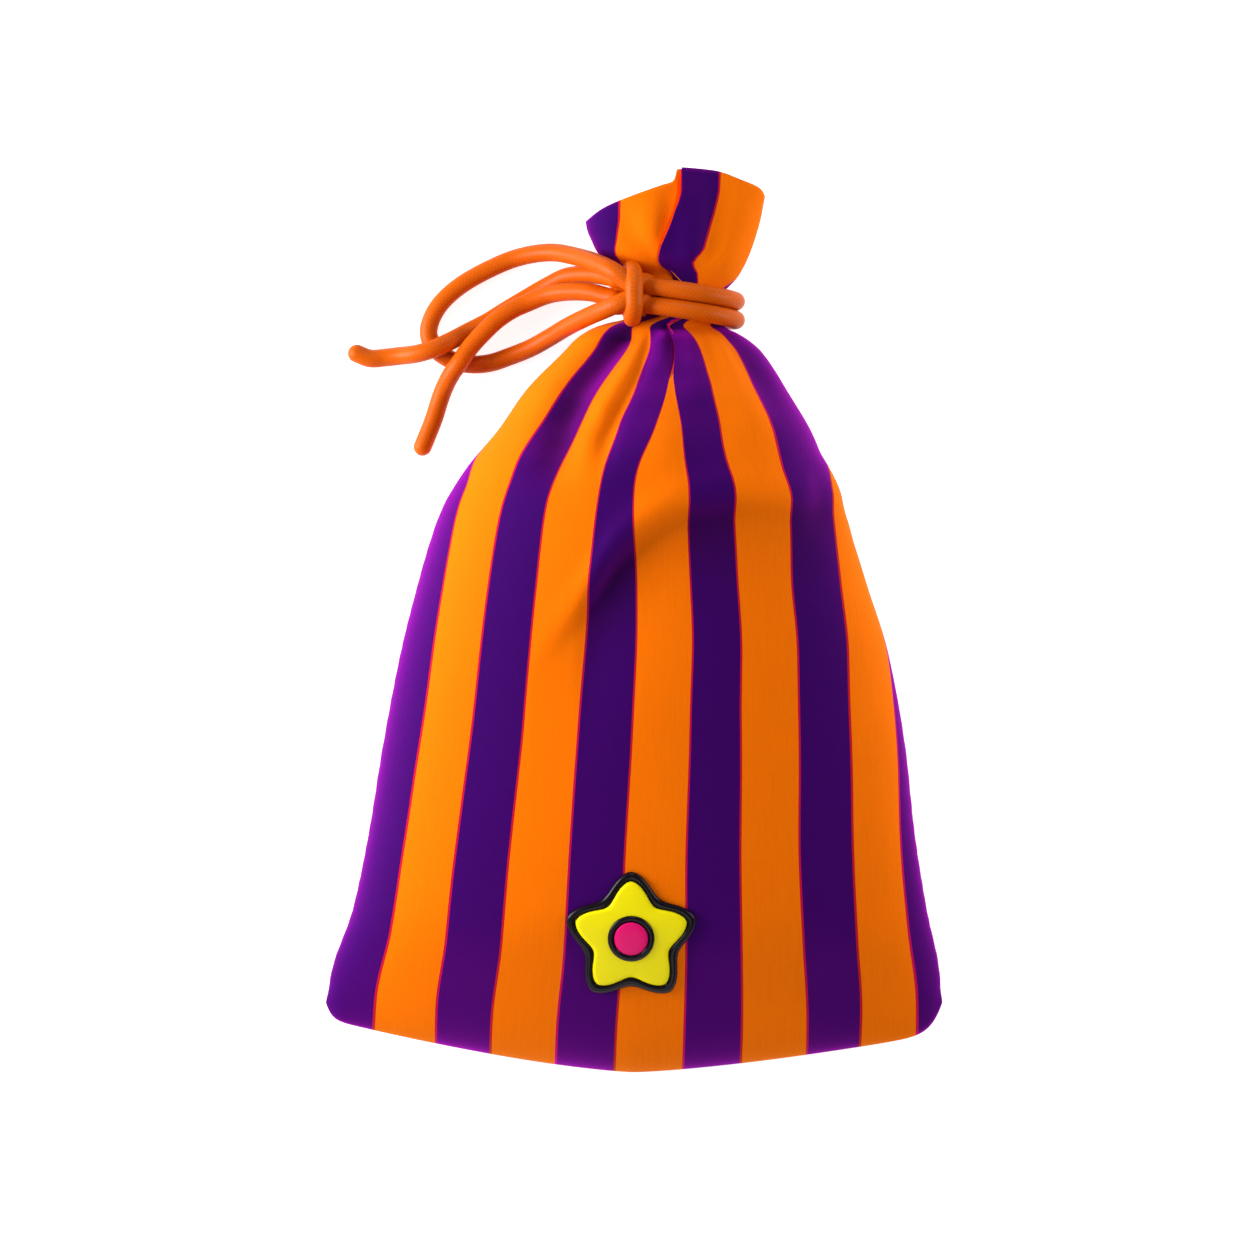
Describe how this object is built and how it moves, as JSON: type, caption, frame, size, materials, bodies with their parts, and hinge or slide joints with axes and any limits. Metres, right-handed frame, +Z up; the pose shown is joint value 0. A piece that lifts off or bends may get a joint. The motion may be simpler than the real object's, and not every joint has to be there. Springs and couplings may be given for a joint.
{
  "type": "drawstring sack",
  "caption": "Striped cloth race sack with its neck gathered and tied by a thick cord in a half bow, and a small star patch near the bottom.",
  "frame": {"origin": "centre of the sack's plan box, on the surface that it lies on", "axes": "+X across the sack to its right with the front up, +Y from the bottom seam towards the tied neck, +Z up out of the front"},
  "size_m": [0.61, 0.8919, 0.1978],
  "materials": {
    "striped_cloth": "matte",
    "seam_cloth": "matte",
    "stuffing": "matte",
    "cord": "satin",
    "patch_black": "gloss",
    "patch_yellow": "satin",
    "patch_pink": "satin"
  },
  "bodies": {
    "root": {"front_panel": "striped_cloth", "back_panel": "striped_cloth", "stuffing": "stuffing", "left_side_seam": "seam_cloth", "right_side_seam": "seam_cloth", "bottom_seam": "seam_cloth", "patch_backing": "patch_black", "patch_face": "patch_yellow", "patch_dot_ring": "patch_black", "patch_dot": "patch_pink", "cord_knot": "cord", "cord_wrap_upper": "cord", "cord_wrap_lower": "cord", "bow_loop": "cord", "left_tail": "cord", "lower_tail": "cord"}
  },
  "joints": []
}
